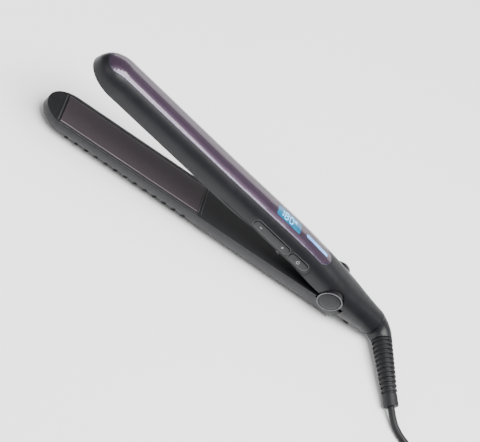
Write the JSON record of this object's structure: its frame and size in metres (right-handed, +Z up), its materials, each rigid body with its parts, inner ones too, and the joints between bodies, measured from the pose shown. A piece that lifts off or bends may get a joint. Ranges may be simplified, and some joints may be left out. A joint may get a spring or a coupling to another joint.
{
  "type": "flat iron",
  "caption": "Hair flat iron with two sprung arms, floating heated plates, a display, side buttons, a tip-to-tail gloss strip and a swivel mains cord with a two-pin plug.",
  "frame": {"origin": "bottom centre of the iron, without its free cord, where the lower arm lies on the table", "axes": "+X along the iron from the tips to the cord, +Y to the side away from the buttons, +Z up"},
  "size_m": [0.3711, 0.168, 0.0757],
  "materials": {
    "black_gloss_shell": "high gloss black",
    "black_satin": "fine satin black",
    "aubergine_lacquer": "deep pearlescent purple under clear lacquer",
    "trim_silver": "thin bright bead",
    "clear_window": "clear",
    "blue_light": "translucent, lit blue",
    "lcd_blue": "backlit display",
    "ceramic_plate": "smooth ceramic coating",
    "heater_foil": "film wrapped",
    "spring_steel": "bright",
    "zinc_bracket": "stamped",
    "circuit_green": "solder mask",
    "component_black": "moulded",
    "brass_contact": "bright",
    "bush_white": "natural acetal",
    "wire_insulation": "silicone",
    "cord_rubber": "satin",
    "pin_nickel": "nickel plated"
  },
  "bodies": {
    "main_arm": {"upper_shell": "black_gloss_shell", "upper_tip_cap": "black_gloss_shell", "top_inlay": "aubergine_lacquer", "inlay_trim": "trim_silver", "display_window": "clear_window", "indicator_window": "blue_light", "button_bezel": "black_satin", "button_board": "circuit_green", "tact_switches": "component_black", "control_board": "circuit_green", "board_parts": "component_black", "lcd_module": "lcd_blue", "indicator_lights": "blue_light", "upper_plate_frame": "black_satin", "upper_inner_cover": "black_satin", "upper_screws": "spring_steel", "rear_lower_cover": "black_gloss_shell", "hinge_bracket": "zinc_bracket", "hinge_pin": "spring_steel", "hinge_spring": "spring_steel", "swivel_bearing": "bush_white", "contact_fingers": "brass_contact", "contact_block": "component_black", "upper_heater_leads": "wire_insulation", "upper_plate_springs": "spring_steel"},
    "lower_arm": {"lower_shell": "black_gloss_shell", "lower_tip_cap": "black_gloss_shell", "lower_ribs": "black_satin", "lower_plate_frame": "black_satin", "lower_inner_cover": "black_satin", "lower_screws": "spring_steel", "lower_heater_leads": "wire_insulation", "lower_plate_springs": "spring_steel", "lock_catch": "zinc_bracket", "hinge_cap_near": "black_gloss_shell", "hinge_cap_far": "black_gloss_shell", "hinge_cap_rings": "trim_silver"},
    "swivel": {"swivel_elbow": "black_gloss_shell", "swivel_clip": "spring_steel", "slip_rings": "brass_contact", "strain_relief": "cord_rubber", "relief_collar": "cord_rubber", "cord_lead": "cord_rubber", "cord_tail": "cord_rubber", "cord_coil": "cord_rubber", "coil_tie": "black_satin", "plug_body": "cord_rubber", "plug_pins": "pin_nickel"},
    "upper_plate": {"upper_plate": "ceramic_plate", "upper_heater": "heater_foil", "upper_heater_clips": "spring_steel", "upper_thermal_fuse": "bush_white"},
    "lower_plate": {"lower_plate": "ceramic_plate", "lower_heater": "heater_foil", "lower_heater_clips": "spring_steel", "lower_thermal_fuse": "bush_white"},
    "rocker": {"temperature_rocker": "black_gloss_shell"},
    "power_key": {"power_button": "black_gloss_shell"},
    "lock": {"lock_slider": "black_satin"}
  },
  "joints": [
    {"name": "arm_hinge", "type": "hinge", "parent": "main_arm", "child": "lower_arm", "pos_m": [0.08726, 0, 0.0199], "axis": [0, 1, 0], "range_deg": [0, 11.4], "stiffness_Nm_per_rad": 0.8, "springref_deg": -34.38, "deforming": ["hinge_spring"]},
    {"name": "cord_swivel", "type": "hinge", "parent": "main_arm", "child": "swivel", "pos_m": [0.12889, 0, 0.01211], "axis": [0.9825, 0, -0.1864], "continuous": true},
    {"name": "upper_plate_float", "type": "slide", "parent": "main_arm", "child": "upper_plate", "axis": [0.1864, 0, 0.9825], "range_m": [0, 0.0008], "stiffness_N_per_m": 2500, "springref_m": -0.0004, "deforming": ["upper_plate_springs"]},
    {"name": "lower_plate_float", "type": "slide", "parent": "lower_arm", "child": "lower_plate", "axis": [0.0147, 0, -0.9999], "range_m": [0, 0.0008], "stiffness_N_per_m": 2500, "springref_m": -0.0004, "deforming": ["lower_plate_springs"]},
    {"name": "temperature_rock", "type": "hinge", "parent": "main_arm", "child": "rocker", "pos_m": [0.0227, -0.013, 0.03769], "axis": [0.1864, 0, 0.9825], "range_deg": [-2.5, 2.5], "stiffness_Nm_per_rad": 0.5},
    {"name": "power_press", "type": "slide", "parent": "main_arm", "child": "power_key", "axis": [0, 1, 0], "range_m": [0, 0.0008], "stiffness_N_per_m": 1500, "springref_m": -0.0003},
    {"name": "lock_slide", "type": "slide", "parent": "main_arm", "child": "lock", "axis": [-0.9825, 0, 0.1864], "range_m": [0, 0.0024]}
  ]
}
